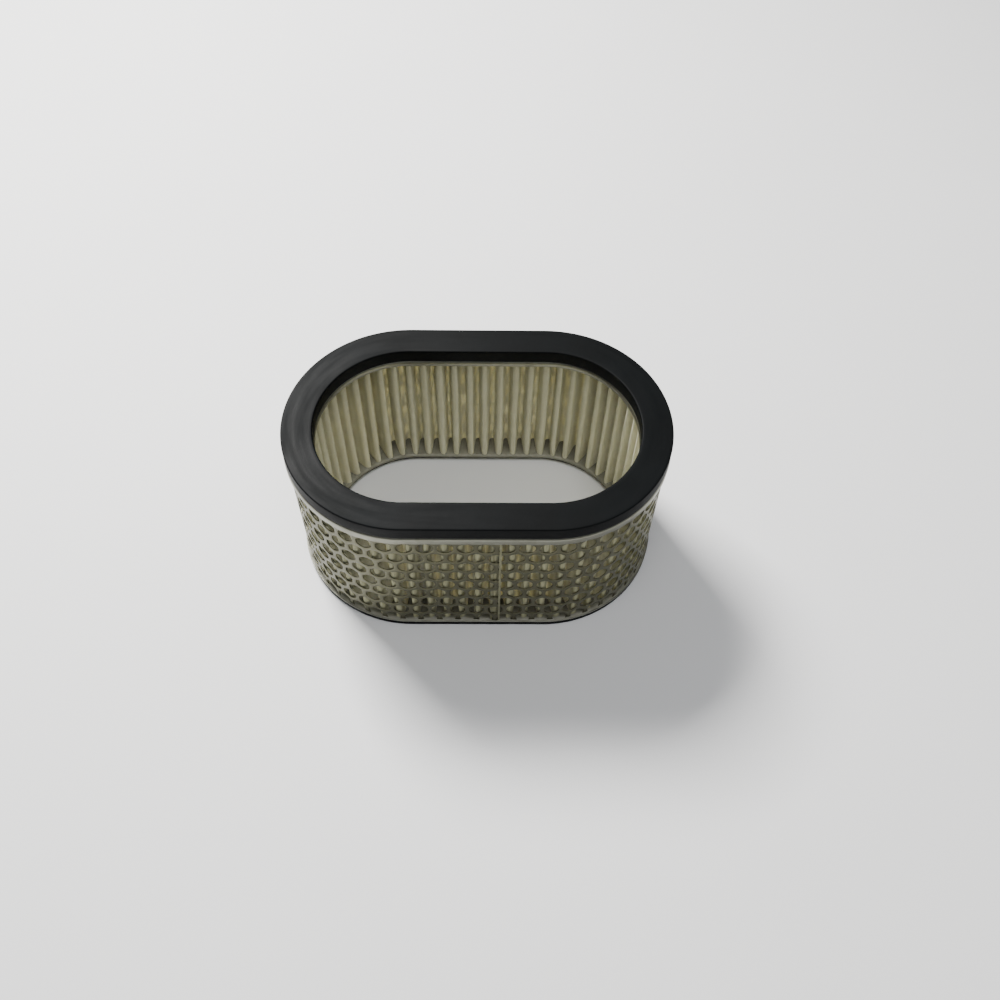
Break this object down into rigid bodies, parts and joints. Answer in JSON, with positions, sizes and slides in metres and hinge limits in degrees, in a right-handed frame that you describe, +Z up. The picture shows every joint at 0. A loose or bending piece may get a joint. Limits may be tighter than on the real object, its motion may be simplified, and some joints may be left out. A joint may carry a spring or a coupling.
{
  "type": "air filter element",
  "caption": "Oval pleated paper air filter element with a perforated steel outer screen, pressed end plates and a flat rubber gasket on each end.",
  "frame": {"origin": "centre of the lower gasket's resting face", "axes": "+X along the oval's long axis, +Y across it away from the screen's lap, +Z up through the open middle"},
  "size_m": [0.1792, 0.1146, 0.0895],
  "materials": {
    "gasket_rubber": "satin moulded rubber",
    "plate_steel": "dull zinc-plated pressing",
    "set_adhesive": "set dark adhesive",
    "filter_paper": "resin-treated filter paper",
    "clip_steel": "plain strip steel",
    "screen_steel": "zinc-plated perforated sheet"
  },
  "bodies": {
    "root": {"lower_gasket": "gasket_rubber", "lower_end_plate": "plate_steel", "lower_adhesive_bed": "set_adhesive", "pleated_media": "filter_paper", "media_seam_clip": "clip_steel", "outer_screen": "screen_steel", "upper_adhesive_bed": "set_adhesive", "upper_end_plate": "plate_steel", "upper_gasket": "gasket_rubber"}
  },
  "joints": []
}
